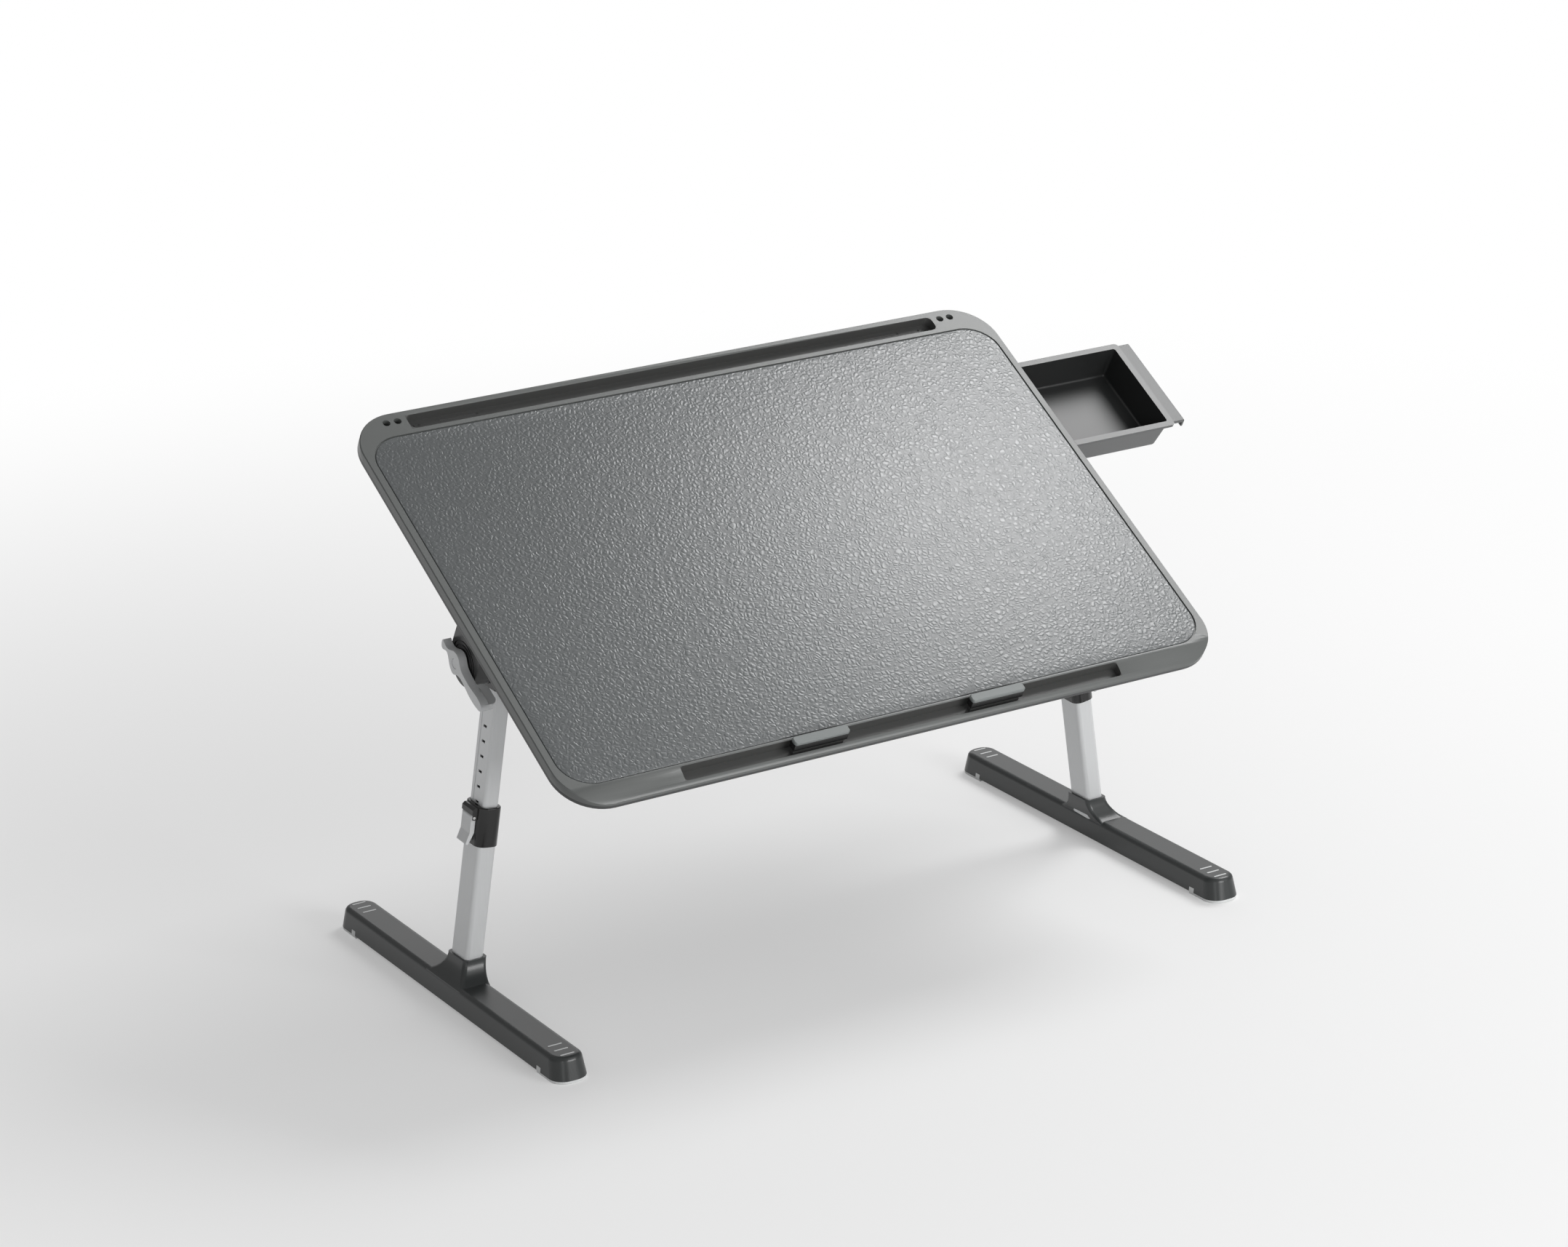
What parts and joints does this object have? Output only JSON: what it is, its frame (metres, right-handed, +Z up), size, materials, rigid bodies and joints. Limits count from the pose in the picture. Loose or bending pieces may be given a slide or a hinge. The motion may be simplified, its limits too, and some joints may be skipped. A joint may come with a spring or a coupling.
{
  "type": "laptop stand with drawer",
  "caption": "Folding lap desk: tilting top with a leather mat, front slot with push-down stops, rear tray, telescopic side legs on floor bars, and a side drawer.",
  "frame": {"origin": "on the floor, midway between the two feet and at the middle of their length", "axes": "+X to the user's right, along the tilt axis; +Y away from the user; +Z up. The top is stored tilted, the legs out and the drawer open, as in the picture"},
  "size_m": [0.8737, 0.4386, 0.5049],
  "materials": {
    "shell": "fine satin moulded dark grey",
    "cover": "satin black-grey",
    "mat": "pebbled artificial leather",
    "black_plastic": "satin black",
    "tube": "satin silver",
    "light_plastic": "satin light grey",
    "steel": "plated steel",
    "foot_plastic": "fine matt dark grey",
    "grip": "light grey rubber",
    "drawer_plastic": "satin grey",
    "clutch": "plain steel"
  },
  "bodies": {
    "desk": {"desktop_frame": "shell", "underside_cover": "cover", "leather_pad": "mat", "drawer_housing": "cover", "drawer_rails": "black_plastic", "housing_catch": "black_plastic", "housing_screws": "steel", "bracket_left": "black_plastic", "bracket_screws_left": "steel", "bracket_right": "black_plastic", "bracket_screws_right": "steel"},
    "drawer": {"drawer_tray": "drawer_plastic", "drawer_pull": "drawer_plastic"},
    "stop_left": {"stop_cap_left": "light_plastic", "stop_body_left": "black_plastic"},
    "lever_left": {"lock_lever_left": "light_plastic"},
    "drum_left": {"tilt_drum_left": "black_plastic", "tilt_axle_left": "steel", "clutch_disc_left": "clutch", "lever_pin_left": "light_plastic"},
    "yoke_left": {"fold_yoke_left": "black_plastic", "fold_rivet_left": "steel"},
    "leg_left": {"leg_knuckle_left": "black_plastic", "inner_tube_left": "tube"},
    "foot_left": {"outer_tube_left": "tube", "height_collar_left": "black_plastic", "latch_pin_left": "steel", "foot_bar_left": "foot_plastic", "foot_pads_left": "grip", "foot_inlays_left": "grip"},
    "latch_left": {"height_latch_left": "light_plastic"},
    "stop_right": {"stop_cap_right": "light_plastic", "stop_body_right": "black_plastic"},
    "lever_right": {"lock_lever_right": "light_plastic"},
    "drum_right": {"tilt_drum_right": "black_plastic", "tilt_axle_right": "steel", "clutch_disc_right": "clutch", "lever_pin_right": "light_plastic"},
    "yoke_right": {"fold_yoke_right": "black_plastic", "fold_rivet_right": "steel"},
    "leg_right": {"leg_knuckle_right": "black_plastic", "inner_tube_right": "tube"},
    "foot_right": {"outer_tube_right": "tube", "height_collar_right": "black_plastic", "latch_pin_right": "steel", "foot_bar_right": "foot_plastic", "foot_pads_right": "grip", "foot_inlays_right": "grip"},
    "latch_right": {"height_latch_right": "light_plastic"}
  },
  "joints": [
    {"name": "drawer_slide", "type": "slide", "parent": "desk", "child": "drawer", "axis": [1, 0, 0], "range_m": [-0.153, 0]},
    {"name": "stop_left_press", "type": "slide", "parent": "desk", "child": "stop_left", "axis": [0, -0.512, 0.859], "range_m": [-0.007, 0]},
    {"name": "tilt_left", "type": "hinge", "parent": "desk", "child": "drum_left", "pos_m": [-0.335, -0.011, 0.3296], "axis": [-1, 0, 0], "range_deg": [-30.8, 0]},
    {"name": "align_left", "type": "hinge", "parent": "drum_left", "child": "yoke_left", "pos_m": [-0.325, -0.011, 0.3296], "axis": [1, 0, 0], "range_deg": [0, 28.5]},
    {"name": "fold_left", "type": "hinge", "parent": "yoke_left", "child": "leg_left", "pos_m": [-0.3051, -0.011, 0.3296], "axis": [0, -0.9992, -0.0401], "range_deg": [0, 98.45]},
    {"name": "height_left", "type": "slide", "parent": "leg_left", "child": "foot_left", "axis": [0.1469, -0.0397, 0.9883], "range_m": [-0.029, 0.058]},
    {"name": "latch_left_flip", "type": "hinge", "parent": "foot_left", "child": "latch_left", "pos_m": [-0.34174, -0.00501, 0.18038], "axis": [0, 0.9992, 0.0401], "range_deg": [0, 75]},
    {"name": "lever_left_pull", "type": "hinge", "parent": "desk", "child": "lever_left", "pos_m": [-0.348, -0.011, 0.3296], "axis": [1, 0, 0], "range_deg": [0, 10], "stiffness_Nm_per_rad": 0.6, "springref_deg": -11.46},
    {"name": "stop_right_press", "type": "slide", "parent": "desk", "child": "stop_right", "axis": [0, -0.512, 0.859], "range_m": [-0.007, 0]},
    {"name": "tilt_right", "type": "hinge", "parent": "desk", "child": "drum_right", "pos_m": [0.335, -0.011, 0.3296], "axis": [-1, 0, 0], "range_deg": [-30.8, 0]},
    {"name": "align_right", "type": "hinge", "parent": "drum_right", "child": "yoke_right", "pos_m": [0.325, -0.011, 0.3296], "axis": [1, 0, 0], "range_deg": [0, 28.5]},
    {"name": "fold_right", "type": "hinge", "parent": "yoke_right", "child": "leg_right", "pos_m": [0.3051, -0.011, 0.3296], "axis": [0, 0.9992, 0.0401], "range_deg": [0, 98.45]},
    {"name": "height_right", "type": "slide", "parent": "leg_right", "child": "foot_right", "axis": [-0.1469, -0.0397, 0.9883], "range_m": [-0.029, 0.058]},
    {"name": "latch_right_flip", "type": "hinge", "parent": "foot_right", "child": "latch_right", "pos_m": [0.34174, -0.00501, 0.18038], "axis": [0, -0.9992, -0.0401], "range_deg": [0, 75]},
    {"name": "lever_right_pull", "type": "hinge", "parent": "desk", "child": "lever_right", "pos_m": [0.348, -0.011, 0.3296], "axis": [1, 0, 0], "range_deg": [0, 10], "stiffness_Nm_per_rad": 0.6, "springref_deg": -11.46}
  ],
  "couplings": [
    {"joint": "align_left", "follows": "fold_left", "ratio": 0.28949},
    {"joint": "tilt_right", "follows": "tilt_left", "ratio": 1},
    {"joint": "align_right", "follows": "fold_right", "ratio": 0.28949}
  ]
}
